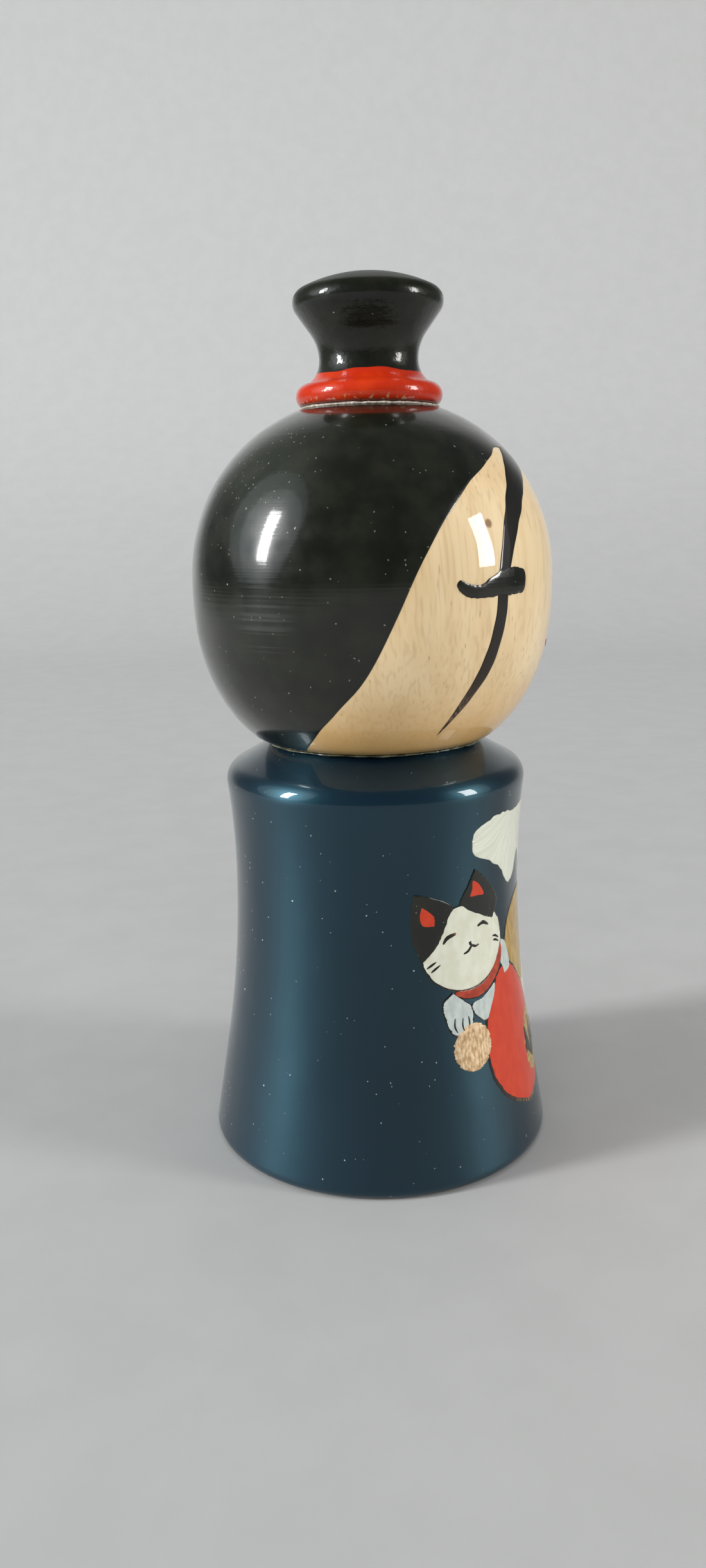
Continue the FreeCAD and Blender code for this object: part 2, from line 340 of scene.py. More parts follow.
def wall_of(path):
    """A turned path's outer side as heights, radii and slopes, from its lowest point up to its highest."""
    bottom, top = np.argmin(path[:, 1]), np.argmax(path[:, 1])
    outer = path[(np.arange(len(path)) >= bottom) & (np.arange(len(path)) <= top)]
    outer = outer[np.concatenate([[True], np.diff(outer[:, 1]) > 1e-7])]
    return outer[:, 1], outer[:, 0], np.gradient(outer[:, 0], outer[:, 1])


def laid_on(wall, bearing, height, lift):
    """Points on a turned wall at a bearing and height, moved out by lift along the wall's normal."""
    heights, radii, slopes = wall
    radius = np.interp(height, heights, radii)
    slope = np.interp(height, heights, slopes)
    scale = 1 / np.sqrt(1 + slope**2)
    out = radius + lift * scale
    turn = np.radians(bearing)
    return np.stack([out * np.sin(turn), -out * np.cos(turn), height - lift * scale * slope], -1)


def node_group(name, inputs, outputs):
    """An empty shader node group with these sockets, each a name, a type and, for an input, its value."""
    group = bpy.data.node_groups.new(name, "ShaderNodeTree")
    for label, kind, value in inputs:
        socket = group.interface.new_socket(label, in_out="INPUT", socket_type=kind)
        if value is not None:
            socket.default_value = value
    for label, kind in outputs:
        group.interface.new_socket(label, in_out="OUTPUT", socket_type=kind)
    return group, group.nodes.new("NodeGroupInput").outputs, group.nodes.new("NodeGroupOutput").inputs


def stretched(tree, place, scale, lean=(0.0, 0.0, 0.0)):
    """Coordinates leant by small angles and scaled by axis, so that a pattern runs along an axis."""
    leant = node(tree, "VectorRotate", {"Vector": place, "Rotation": lean}, rotation_type="EULER_XYZ")
    return node(tree, "Mapping", {"Vector": leant.outputs["Vector"], "Scale": scale}).outputs["Vector"]


# Specks of dust and lint caught in the lacquer: in each cell of a random pattern a few cells hold one
# small round or drawn-out speck, and the rest hold none.
dust, dust_in, dust_out = node_group(
    "dust_specks",
    [("Place", "NodeSocketVector", None), ("Cells per metre", "NodeSocketFloat", 300.0),
     ("Share", "NodeSocketFloat", 0.3), ("Radius", "NodeSocketFloat", 0.10)],
    [("Specks", "NodeSocketFloat")],
)
bend = node(dust, "TexNoise", {"Vector": dust_in["Place"], "Scale": 900.0, "Detail": 1.0}).outputs["Color"]
drift = node(dust, "VectorMath", {0: bend, 1: (0.0006, 0.0006, 0.0006)}, operation="MULTIPLY").outputs[0]
placed = node(dust, "VectorMath", {0: dust_in["Place"], 1: drift}, operation="ADD").outputs[0]
cells = node(dust, "TexVoronoi", {"Vector": placed, "Scale": dust_in["Cells per metre"]})
chance = node(dust, "SeparateColor", {"Color": cells.outputs["Color"]})
chosen = sums(dust, "LESS_THAN", chance.outputs["Red"], dust_in["Share"])
size_share = ranged(dust, chance.outputs["Green"], 0.0, 1.0, 0.35, 1.5)
size_here = sums(dust, "MULTIPLY", dust_in["Radius"], size_share)
reach = sums(dust, "DIVIDE", cells.outputs["Distance"], size_here)
near = sums(dust, "SUBTRACT", 1.0, ranged(dust, reach, 0.6, 1.0))
dust.links.new(sums(dust, "MULTIPLY", chosen, near), dust_out["Specks"])

# Fine rings that the turning tool leaves: noise that changes quickly up the piece and slowly around it.
rings_group, rings_in, rings_out = node_group(
    "tool_rings",
    [("Place", "NodeSocketVector", None), ("Rings per metre", "NodeSocketFloat", 900.0)],
    [("Height", "NodeSocketFloat")],
)
fine = node(rings_group, "CombineXYZ", {"X": 18.0, "Y": 18.0, "Z": rings_in["Rings per metre"]})
fine_place = node(rings_group, "VectorMath", {0: rings_in["Place"], 1: fine.outputs[0]}, operation="MULTIPLY")
rings_group.links.new(noise(rings_group, fine_place.outputs[0]), rings_out["Height"])


def grouped(tree, group, sockets):
    """One use of a node group with its own values."""
    made = tree.nodes.new("ShaderNodeGroup")
    made.node_tree = group
    for key, value in sockets.items():
        if isinstance(value, bpy.types.NodeSocket):
            tree.links.new(value, made.inputs[key])
        else:
            made.inputs[key].default_value = value
    return made.outputs


def specks_on(tree, place, cells_per_metre, share, radius):
    """A mask of dust specks, one at most in each cell, with their radius as a share of a cell."""
    sockets = {"Place": place, "Cells per metre": cells_per_metre, "Share": share, "Radius": radius}
    return grouped(tree, dust, sockets)["Specks"]


def turning_lines(tree, place, rings_per_metre):
    """The height of the fine rings that the turning tool leaves."""
    return grouped(tree, rings_group, {"Place": place, "Rings per metre": rings_per_metre})["Height"]


def value_of(tree, name):
    """A number that a piece's points carry."""
    return node(tree, "Attribute", attribute_name=name).outputs["Fac"]


def reach_from(tree, place, spot):
    """How far a place lies from a spot."""
    return node(tree, "VectorMath", {0: place, 1: spot}, operation="DISTANCE").outputs["Value"]


def coloured(tree, shader, colour):
    """Links a colour to the shader."""
    tree.links.new(colour, shader.inputs["Base Color"])


def bumped(tree, shader, height, distance):
    """Tips the paint's and the coat's normals by a height, distance deep, over the coat's slow waves."""
    waves = noise(tree, node(tree, "TexCoord").outputs["Object"], 120.0, 1.0)
    waved = node(tree, "Bump", {"Height": waves, "Distance": 0.10 * MM}).outputs["Normal"]
    made = node(tree, "Bump", {"Height": height, "Distance": distance, "Normal": waved}).outputs["Normal"]
    tree.links.new(made, shader.inputs["Normal"])
    tree.links.new(made, shader.inputs["Coat Normal"])


def lacquered(name, constants):
    """A material under a clear gloss coat, with its tree, shader and Object coordinates."""
    coat = {"Coat Weight": 1.0, "Coat Roughness": 0.04, "Coat IOR": 1.37}
    base = {"Roughness": 0.5, "Specular IOR Level": 0.1}
    material, tree, shader = plain_material(name, {**coat, **base, **constants})
    return material, tree, shader, node(tree, "TexCoord").outputs["Object"]


# Dark blue with a blue sheen drawn out around the robe, a little cloudy where the brush overlapped, darker
# and greenish in a thin line along the foot's edge, and bare wood underneath. Dust shows as pale specks.
DEEP_BLUE, WORN_BLUE = (0.0015, 0.005, 0.011, 1), (0.003, 0.009, 0.018, 1)
SHEEN_BLUE = (0.22, 0.74, 1.0, 1)
FOOT_GREEN = (0.035, 0.036, 0.020, 1)
PALE_DUST = (0.62, 0.68, 0.70, 1)
BARE_DEEP, BARE_PALE = (0.50, 0.35, 0.19, 1), (0.66, 0.49, 0.29, 1)
sheen = {"Specular IOR Level": 0.72, "Specular Tint": SHEEN_BLUE}
sheen |= {"Anisotropic": 0.6, "Anisotropic Rotation": 0.25}
navy, tree, shader, place = lacquered("navy_lacquer", {"Coat Roughness": 0.035, **sheen})
cloud = noise(tree, stretched(tree, place, (40, 40, 22)), detail=3.0)
blue = mixed(tree, ranged(tree, cloud, 0.35, 0.7), DEEP_BLUE, WORN_BLUE)
wood = mixed(tree, noise(tree, stretched(tree, place, (300, 900, 300))), BARE_DEEP, BARE_PALE)
big_specks = specks_on(tree, place, 330.0, 0.12, 0.045)
fine_specks = specks_on(tree, place, 1000.0, 0.42, 0.085)
all_specks = sums(tree, "MAXIMUM", big_specks, sums(tree, "MULTIPLY", fine_specks, 0.7))
edge_line = sums(tree, "MULTIPLY_ADD", noise(tree, place, 500.0, 3.0), 0.7 * MM, 0.1 * MM)
at_foot_edge = sums(tree, "LESS_THAN", height_of(tree, place), edge_line)
painted = mixed(tree, at_foot_edge, blue, FOOT_GREEN)
dusty = mixed(tree, sums(tree, "MULTIPLY", all_specks, 0.75), painted, PALE_DUST)
coloured(tree, shader, mixed(tree, ranged(tree, value_of(tree, "bare"), 0.4, 0.6), dusty, wood))
tree.links.new(ranged(tree, all_specks, 0.0, 1.0, 0.43, 0.8), shader.inputs["Roughness"])
marks = turning_lines(tree, place, 700.0)
bumped(tree, shader, sums(tree, "MULTIPLY_ADD", all_specks, 3.0, marks), 0.012 * MM)

path = evened(robe_path(), 0.42 * MM)
underneath = (path[:, 1] < 0.9 * MM) & (path[:, 0] < 22.4 * MM)
inside = underneath | (path[:, 0] < 13.0 * MM)
robe = turned("robe", path, {"bare": inside.astype(float)})
robe.data.materials.append(navy)
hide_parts("body")
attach(robe, "robe")
robe_wall = wall_of(evened(robe_path(), 0.05 * MM))


# ---- Head ----
# A ball of pale beech with squared cheeks, faced flat for the neck and the topknot and drilled for
# both pegs. It is left bare under clear gloss lacquer wherever the hair isn't painted.

HEAD_RADIUS = 24.62 * MM
HEAD_ABOVE_SEAT = 21.6 * MM
LOWER_POWER = 2.4
UPPER_POWER = 2.1
FACE_RADIUS = SEAT_RADIUS + 2.1 * MM
FACE_EASE = 0.8 * MM
CROWN_RADIUS = 9.1 * MM
FACE_Z, CROWN_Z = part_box("head")[0].z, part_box("head")[1].z
EQUATOR_Z = SEAT_Z + HEAD_ABOVE_SEAT


def half_head(face_radius, face_z, power):
    """A superellipse from the head's widest level to a flat face, where it has the face's radius."""
    at_face = (1 - (face_radius / HEAD_RADIUS) ** power) ** (1 / power)
    share = np.sin(np.linspace(0, math.pi / 2, 90))
    radius = HEAD_RADIUS * (1 - (share * at_face) ** power) ** (1 / power)
    return np.stack([radius, EQUATOR_Z + share * (face_z - EQUATOR_Z)], -1)


def head_path():
    """The neck hole, the eased lower face, the two half curves, the crown and the topknot's hole."""
    lower = half_head(FACE_RADIUS, FACE_Z, LOWER_POWER)
    kept = lower[lower[:, 1] > FACE_Z + FACE_EASE]
    eased = [(FACE_RADIUS - 0.55 * MM, FACE_Z), (FACE_RADIUS + 0.15 * MM, FACE_Z + 0.22 * MM)]
    edge = np.array([*eased, kept[-1]])
    t = np.linspace(0, 1, 12)[:, None]
    eased = (1 - t) ** 2 * edge[0] + 2 * t * (1 - t) * edge[1] + t**2 * edge[2]
    neck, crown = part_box("neck_peg"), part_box("topknot_peg")
    return np.concatenate([
        hole_points(neck[1].x + PEG_FIT, FACE_Z, neck[1].z + PEG_END_ROOM)[::-1],
        eased,
        kept[::-1],
        half_head(CROWN_RADIUS, CROWN_Z, UPPER_POWER),
        hole_points(crown[1].x + PEG_FIT, CROWN_Z, crown[0].z - PEG_END_ROOM),
    ])


# Beech: straight upright grain in soft bands, fine pores, and the short dark dashes of its rays.
GRAIN_LEAN = (0.09, -0.10, 0.0)
beech, beech_in, beech_out = node_group(
    "beech",
    [("Place", "NodeSocketVector", None), ("Pale", "NodeSocketColor", (0.90, 0.71, 0.44, 1)),
     ("Warm", "NodeSocketColor", (0.76, 0.54, 0.29, 1)), ("Fleck", "NodeSocketColor", (0.40, 0.24, 0.11, 1))],
    [("Color", "NodeSocketColor"), ("Height", "NodeSocketFloat")],
)
band_place = stretched(beech, beech_in["Place"], (230, 230, 11), GRAIN_LEAN)
narrow_bands = ranged(beech, noise(beech, band_place, 1.0, 4.0, 0.6), 0.35, 0.68)
wide_place = stretched(beech, beech_in["Place"], (45, 45, 14))
wide_bands = ranged(beech, noise(beech, wide_place), 0.35, 0.65)
pore_noise = noise(beech, stretched(beech, beech_in["Place"], (2200, 2200, 90), GRAIN_LEAN), detail=0.0)
banded = sums(beech, "MULTIPLY_ADD", narrow_bands, 0.65, sums(beech, "MULTIPLY", wide_bands, 0.35))
toned = mixed(beech, banded, beech_in["Pale"], beech_in["Warm"])
fleck_place = stretched(beech, beech_in["Place"], (1900, 1900, 260), GRAIN_LEAN)
fleck_cells = node(beech, "TexVoronoi", {"Vector": fleck_place, "Scale": 1.0, "Randomness": 1.0})
fleck_chance = node(beech, "SeparateColor", {"Color": fleck_cells.outputs["Color"]})
fleck_near = sums(beech, "SUBTRACT", 1.0, ranged(beech, fleck_cells.outputs["Distance"], 0.08, 0.26))
fleck_here = sums(beech, "MULTIPLY", fleck_near, sums(beech, "LESS_THAN", fleck_chance.outputs["Red"], 0.24))
fleck_depth = ranged(beech, fleck_chance.outputs["Green"], 0.0, 1.0, 0.12, 0.6)
fleck_strength = sums(beech, "MULTIPLY", fleck_here, fleck_depth)
pored = mixed(beech, ranged(beech, pore_noise, 0.50, 0.75, 0.0, 0.20), toned, beech_in["Fleck"])
beech.links.new(mixed(beech, fleck_strength, pored, beech_in["Fleck"]), beech_out["Color"])
beech.links.new(sums(beech, "SUBTRACT", pore_noise, fleck_strength), beech_out["Height"])

face_wood, tree, shader, place = lacquered("clear_lacquered_beech", {"Coat Roughness": 0.03})
wood_parts = grouped(tree, beech, {"Place": place})
height_up = height_of(tree, place)
# Painted shade: the wood is painted warmer and darker towards the neck, standing in for shade and warm light
# reflected there.
painted_neck_shade = ranged(tree, height_up, FACE_Z - 1 * MM, FACE_Z + 12 * MM, 0.85, 0.0)
neck_shaded = mixed(tree, painted_neck_shade, wood_parts["Color"], (0.76, 0.43, 0.13, 1))
knot_turn = math.radians(-45.0)
knot_spot = (23.6 * MM * math.sin(knot_turn), -23.6 * MM * math.cos(knot_turn), 88.1 * MM)
knot_reach = reach_from(tree, place, knot_spot)
knot_share = ranged(tree, knot_reach, 0.35 * MM, 0.75 * MM, 0.85, 0.0)
knotted = mixed(tree, knot_share, neck_shaded, (0.22, 0.10, 0.04, 1))
specks = specks_on(tree, place, 400.0, 0.05, 0.08)
coloured(tree, shader, mixed(tree, sums(tree, "MULTIPLY", specks, 0.5), knotted, (0.30, 0.20, 0.12, 1)))
bumped(tree, shader, wood_parts["Height"], 0.003 * MM)

head = turned("wooden_head", evened(head_path(), 0.44 * MM))
head.data.materials.append(face_wood)
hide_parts("head")
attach(head, "head_and_topknot")
head_wall = wall_of(evened(head_path(), 0.05 * MM))


# Where the head meets the seat, clear lacquer has gathered in a thin uneven bead, clouded at random between
# dark green and pale grey-green.


def ripple(turn, seed, count=9, lowest=3):
    """A small wandering number: sines of whole frequencies with seeded sizes and phases, about one high."""
    random = np.random.default_rng(seed)
    waves = np.arange(lowest, lowest + count)
    sizes = random.uniform(0.3, 1.0, count) / np.sqrt(waves)
    phases = random.uniform(0, 2 * math.pi, count)
    sines = np.sin(waves[:, None] * turn.ravel() + phases[:, None])
    return (sizes[:, None] * sines).sum(0).reshape(turn.shape)


def bead(name, radius, height, half_width, half_height, seed, wobble=0.25):
    """A closed ring about Z with an oval section, whose size wanders around the ring."""
    turn = np.linspace(0, 2 * math.pi, TURNS, endpoint=False)[:, None]
    section = np.linspace(0, 2 * math.pi, 16, endpoint=False)[None, :]
    grow = 1 + wobble * ripple(turn, seed, 40, 6)
    out = radius + half_width * grow * np.cos(section)
    level = height + half_height * grow * np.sin(section)
    return closed_skin(name, np.stack([out * np.sin(turn), -out * np.cos(turn), level + 0 * turn], -1))


gathered, tree, shader, place = lacquered("gathered_lacquer", {"Roughness": 0.25, "Specular IOR Level": 0.4})
clouded = noise(tree, place, 700.0, 4.0)
bead_colour = mixed(tree, ranged(tree, clouded, 0.35, 0.65), (0.030, 0.040, 0.026, 1), (0.17, 0.18, 0.11, 1))
coloured(tree, shader, bead_colour)
bumped(tree, shader, clouded, 0.05 * MM)
neck_bead = bead("neck_lacquer_bead", SEAT_RADIUS + 1.0 * MM, SEAT_Z - 0.12 * MM, 0.5 * MM, 0.17 * MM, 51)
neck_bead.data.materials.append(gathered)
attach(neck_bead, "robe")


# ---- Hair ----
# Black paint brushed over the crown and the whole back of the head. Its edge sweeps from the parting
# on the forehead down each cheek to the neck, and ripples where the brush was lifted.

PAINT_LIFT = 0.05 * MM
PAINT_SINK = 0.06 * MM


HAIRLINE_BEARINGS = (0, 8, 14, 34, 49, 61, 68, 75, 82, 95, 112, 124, 180)
HAIRLINE_HEIGHTS = (96.0, 96.4, 97.3, 95.6, 92.7, 88.0, 83.6, 77.6, 71.5, 65.3, 60.0, 58.2, 58.2)


def smooth_between(x, knots, levels):
    """A cubic through the knots whose slope at each is the mean of its neighbours' chords."""
    knots, levels = np.asarray(knots, float), np.asarray(levels, float)
    slopes = np.gradient(levels, knots)
    i = np.clip(np.searchsorted(knots, x) - 1, 0, len(knots) - 2)
    width = knots[i + 1] - knots[i]
    t = np.clip((x - knots[i]) / width, 0, 1)
    start = (1 + 2 * t) * (1 - t) ** 2 * levels[i] + t * (1 - t) ** 2 * width * slopes[i]
    return start + t * t * (3 - 2 * t) * levels[i + 1] + t * t * (t - 1) * width * slopes[i + 1]


def hair_cap():
    """From the crown's edge to the hairline, evenly along the wall, and then back below the wood."""
    turn = np.linspace(-math.pi, math.pi, 600, endpoint=False)
    hairline = smooth_between(np.abs(np.degrees(turn)), HAIRLINE_BEARINGS, HAIRLINE_HEIGHTS) * MM
    hairline = np.maximum(hairline + 0.12 * MM * ripple(turn, 5, 30, 9), FACE_Z + 0.15 * MM)
    heights, radii, _ = head_wall
    length = np.concatenate([[0], np.cumsum(np.hypot(np.diff(heights), np.diff(radii)))])
    top = CROWN_Z - 0.01 * MM
    share = 1 - (1 - np.linspace(0, 1, 70)) ** 1.6
    reach = np.interp(top, heights, length)
    at = reach - share[:, None] * (reach - np.interp(hairline, heights, length)[None, :])
    level = np.interp(at, length, heights)
    lift = PAINT_LIFT * np.sqrt(1 - share**60)[:, None]
    upper = laid_on(head_wall, np.degrees(turn)[None, :], level, lift)
    sunk = -PAINT_SINK * np.sqrt(1 - share[-2::-1] ** 60)[:, None]
    under = laid_on(head_wall, np.degrees(turn)[None, :], level[-2::-1], sunk)
    tips = [(0, 0, CROWN_Z + PAINT_LIFT), (0, 0, CROWN_Z - PAINT_SINK)]
    return closed_skin("hair", np.concatenate([upper, under]), tips)


# Glossy black. Dust lies all over it, thickest on the right of the crown. Behind the right ear the turning
# lines are painted pale, a painted glint of light running along them.
DUSTY_SPOT = (-16.2 * MM, 10.9 * MM, 96.0 * MM)
LINE_GLINT_SPOT = (-21.9 * MM, 10.3 * MM, 77.0 * MM)
DEEP_SOOT, PALE_SOOT = (0.0065, 0.0072, 0.0045, 1), (0.0125, 0.0135, 0.0080, 1)
black, tree, shader, place = lacquered("black_lacquer", {"Coat Roughness": 0.08, "Specular IOR Level": 0.22})
dusty_reach = reach_from(tree, place, DUSTY_SPOT)
dusty_share = ranged(tree, dusty_reach, 3 * MM, 11 * MM, 0.9, 0.15)
specks = specks_on(tree, place, 420.0, 0.16, 0.07)
fine_specks = specks_on(tree, place, 1600.0, dusty_share, 0.15)
all_specks = sums(tree, "MAXIMUM", specks, sums(tree, "MULTIPLY", fine_specks, 0.5))
haze = noise(tree, place, 260.0, 4.0)
soot = mixed(tree, ranged(tree, haze, 0.3, 0.7), DEEP_SOOT, PALE_SOOT)
filmed = mixed(tree, ranged(tree, dusty_reach, 2 * MM, 12 * MM, 0.045, 0.0), soot, (0.40, 0.44, 0.36, 1))
marks = turning_lines(tree, place, 3400.0)
# Painted highlight: pale turning lines behind the right ear, where the light glints along them.
line_glint_reach = reach_from(tree, place, LINE_GLINT_SPOT)
line_glint_share = ranged(tree, line_glint_reach, 1.0 * MM, 6.0 * MM, 0.05, 0.0)
painted_line_glints = sums(tree, "MULTIPLY", line_glint_share, ranged(tree, marks, 0.48, 0.66))
with_painted_glints = mixed(tree, painted_line_glints, filmed, (0.50, 0.54, 0.52, 1))
coloured(tree, shader, mixed(tree, sums(tree, "MULTIPLY", all_specks, 0.6), with_painted_glints, (0.50, 0.52, 0.50, 1)))
tree.links.new(ranged(tree, haze, 0.3, 0.75, 0.18, 0.32), shader.inputs["Roughness"])
bumped(tree, shader, sums(tree, "MULTIPLY_ADD", all_specks, 1.0, marks), 0.010 * MM)

hair = hair_cap()
hair.data.materials.append(black)
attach(hair, "head_and_topknot")


# ---- Side locks, eyes and mouth ----
# Single brush strokes on the bare wood: a long lock from the parting down across each eye to the
# cheek, a closed eye that is thick at its inner end, and a small red mouth.


def flowing(points, count, closed=False):
    """A smooth line through a few points: cubics whose slope at a point is half its neighbours' chord."""
    points = np.asarray(points, float)
    if closed:
        ring = np.concatenate([points[-1:], points, points[:2]])
    else:
        ring = np.concatenate([2 * points[:1] - points[1:2], points, 2 * points[-1:] - points[-2:-1]])
    stretches = len(ring) - 3
    at = np.linspace(0, stretches, count, endpoint=not closed)
    i = np.minimum(at.astype(int), stretches - 1)
    t = (at - i)[:, None]
    before, a, b, after = ring[i], ring[i + 1], ring[i + 2], ring[i + 3]
    slope_a, slope_b = (b - before) / 2, (after - a) / 2
    start = (1 + 2 * t) * (1 - t) ** 2 * a + t * (1 - t) ** 2 * slope_a
    return start + t * t * (3 - 2 * t) * b + t * t * (t - 1) * slope_b


def lens(round_, top, sink, power):
    """The height around a flat lens: top above and sink below, times a power of the sine."""
    return np.where(np.sin(round_) > 0, top, sink) * np.sign(np.sin(round_)) * np.abs(np.sin(round_)) ** power


def brush_stroke(name, wall, route, half_widths, top, seed=1, steps=90):
    """A stroke along a route of (bearing, height in mm): a flat lens across, as wide as half_widths says.

    The line across is square to the route on the wall. Each point is then set back on the wall and raised
    by the lens, whose upper side is top high and whose under side is sunk in the wood.
    """
    route = np.asarray(route, float)
    line = flowing(route, steps)
    centre = laid_on(wall, line[:, 0], line[:, 1] * MM, 0.0)
    ahead = np.gradient(centre, axis=0)
    out = laid_on(wall, line[:, 0], line[:, 1] * MM, MM) - centre
    side = np.cross(ahead, out)
    side /= np.linalg.norm(side, axis=1)[:, None]
    share = np.linspace(0, 1, steps)
    half = smooth_between(share, np.linspace(0, 1, len(half_widths)), half_widths) * MM
    half = np.maximum(half, 0.0) * (1 + 0.05 * ripple(share * 2 * math.pi, seed, 14, 4))
    ends = np.sqrt(np.clip(1 - np.abs(2 * share - 1) ** 24, 0, 1))
    round_ = np.linspace(0, 2 * math.pi, 32, endpoint=False)
    across = np.sign(np.cos(round_)) * np.abs(np.cos(round_)) ** 0.7
    flat = centre[:, None, :] + side[:, None, :] * (half * ends)[:, None, None] * across[None, :, None]
    bearing = np.degrees(np.arctan2(flat[..., 0], -flat[..., 1]))
    rise = lens(round_, top, PAINT_SINK, 0.5)
    body = laid_on(wall, bearing, flat[..., 2], rise[None, :] * ends[:, None])
    along = np.concatenate([np.repeat(share[1:-1], len(round_)), [0.0, 1.0]])
    return closed_skin(name, body[1:-1], [centre[0], centre[-1]], {"along": along})


# Thin black that wears brown towards the end of a stroke, where the brush ran dry.
stroke_black, tree, shader, place = lacquered("brushed_black", {"Coat Roughness": 0.03})
along = value_of(tree, "along")
streak = noise(tree, stretched(tree, place, (2600, 2600, 500)), detail=3.0)
dryness = sums(tree, "MULTIPLY", ranged(tree, along, 0.80, 1.0), ranged(tree, streak, 0.40, 0.62))
worn_share = ranged(tree, along, 0.5, 0.95, 0.0, 0.8)
thinned = mixed(tree, worn_share, (0.009, 0.008, 0.006, 1), (0.045, 0.026, 0.016, 1))
coloured(tree, shader, mixed(tree, dryness, thinned, (0.28, 0.17, 0.09, 1)))

LOCK = [(5, 97.4), (22, 93.6), (34, 88.6), (40.4, 82.6), (41.7, 76.8), (45, 71.2), (50, 67.0), (57.5, 61.7)]
EYE = [(57.4, 81.3), (54.0, 80.3), (49, 80.1), (42, 80.9), (36, 81.1), (30.8, 80.9)]
for side_name, way in (("right", -1), ("left", 1)):
    lock = brush_stroke(f"{side_name}_lock", head_wall, [(way * b, h) for b, h in LOCK],
                        (2.2, 1.9, 1.35, 0.98, 0.9, 0.9, 0.62, 0.05), 0.09 * MM, seed=21 + way, steps=160)
    eye = brush_stroke(f"{side_name}_eye", head_wall, [(way * b, h) for b, h in EYE],
                       (0.5, 0.78, 0.85, 1.5, 1.7, 1.3), 0.13 * MM, seed=31 + way, steps=120)
    lock.data.materials.append(stroke_black)
    eye.data.materials.append(black)
    for piece in (lock, eye):
        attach(piece, "head_and_topknot")

red_lip, tree, shader, place = lacquered("brushed_lip_red", {"Coat Roughness": 0.03})
streak = noise(tree, place, 1500.0, 3.0)
coloured(tree, shader, mixed(tree, streak, (0.42, 0.09, 0.05, 1), (0.62, 0.16, 0.09, 1)))
mouth = brush_stroke("mouth", head_wall, [(-7.0, 72.5), (-3.5, 72.0), (0, 71.9), (3.5, 72.0), (7.0, 72.5)],
                     (0.1, 0.45, 0.5, 0.45, 0.1), 0.08 * MM, seed=41, steps=70)
mouth.data.materials.append(red_lip)
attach(mouth, "head_and_topknot")


# ---- Topknot ----
# The flared knot of hair and the ring at its foot are one turning, glued on the crown. The knot is
# black and the ring vermilion, and the red climbs the stem to a wavering brushed edge.

RING_SECTION = 1.6 * MM
RING_STANDOUT = 1.6 * MM
STEM_RADIUS = 6.6 * MM
STEM_ABOVE_RING = 3.0 * MM
STEM_ARC = 5.8 * MM
FLARE_LEAN = 36.0
FLARE_REACH = 3.35 * MM
BRIM_EASE = 1.9 * MM
DOME_RADIUS = 20.8 * MM


def topknot_path():
    """The peg's hole, the ring's half circle, the hollow, the flare, the brim's easing and the dome."""
    ring = (STEM_RADIUS + RING_STANDOUT, CROWN_Z + RING_SECTION)
    stem_z = CROWN_Z + 2 * RING_SECTION + STEM_ABOVE_RING
    hollow = (STEM_ABOVE_RING**2 + RING_STANDOUT**2) / (2 * RING_STANDOUT)
    hollow_turn = math.degrees(math.atan2(STEM_ABOVE_RING, hollow - RING_STANDOUT))
    flare = arc_points((STEM_RADIUS + STEM_ARC, stem_z), STEM_ARC, 180, 180 - FLARE_LEAN)
    lean_angle = math.radians(FLARE_LEAN)
    brim = STEM_RADIUS + FLARE_REACH - BRIM_EASE
    run = (brim + BRIM_EASE * math.cos(lean_angle) - flare[-1, 0]) / math.sin(lean_angle)
    brim_z = flare[-1, 1] + run * math.cos(lean_angle) + BRIM_EASE * math.sin(lean_angle)
    dome_turn = math.degrees(math.acos(brim / (DOME_RADIUS - BRIM_EASE)))
    dome_z = brim_z - (DOME_RADIUS - BRIM_EASE) * math.sin(math.radians(dome_turn))
    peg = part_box("topknot_peg")
    return np.concatenate([
        hole_points(peg[1].x + PEG_FIT, CROWN_Z, peg[1].z + PEG_END_ROOM)[::-1],
        arc_points(ring, RING_SECTION, -90, 90, 40),
        arc_points((STEM_RADIUS + hollow, stem_z), hollow, 180 + hollow_turn, 180, 30)[1:],
        flare[1:],
        arc_points((brim, brim_z), BRIM_EASE, -FLARE_LEAN, dome_turn),
        arc_points((0, dome_z), DOME_RADIUS, dome_turn, 90)[1:],
    ])


knot_paint, tree, shader, place = lacquered("topknot_lacquer", {"Coat Roughness": 0.08, "Roughness": 0.4})
height_up = height_of(tree, place)
waver = noise(tree, stretched(tree, place, (110, 110, 10)))
line_z = sums(tree, "MULTIPLY_ADD", waver, 1.5 * MM, CROWN_Z + 3.75 * MM)
is_black = ranged(tree, sums(tree, "SUBTRACT", height_up, line_z), -0.02 * MM, 0.05 * MM)
tone = noise(tree, place, 350.0, 4.0)
red = mixed(tree, ranged(tree, tone, 0.3, 0.7), (0.49, 0.020, 0.003, 1), (0.58, 0.036, 0.004, 1))
chip = noise(tree, place, 1500.0, 3.0)
chip_low = ranged(tree, height_up, CROWN_Z + 0.7 * MM, CROWN_Z + 1.4 * MM, 1.0, 0.0)
chipped = sums(tree, "MULTIPLY", chip_low, ranged(tree, chip, 0.60, 0.68))
red = mixed(tree, chipped, red, (0.55, 0.30, 0.18, 1))
soot = mixed(tree, ranged(tree, tone, 0.3, 0.7), DEEP_SOOT, PALE_SOOT)
specks = specks_on(tree, place, 500.0, 0.08, 0.09)
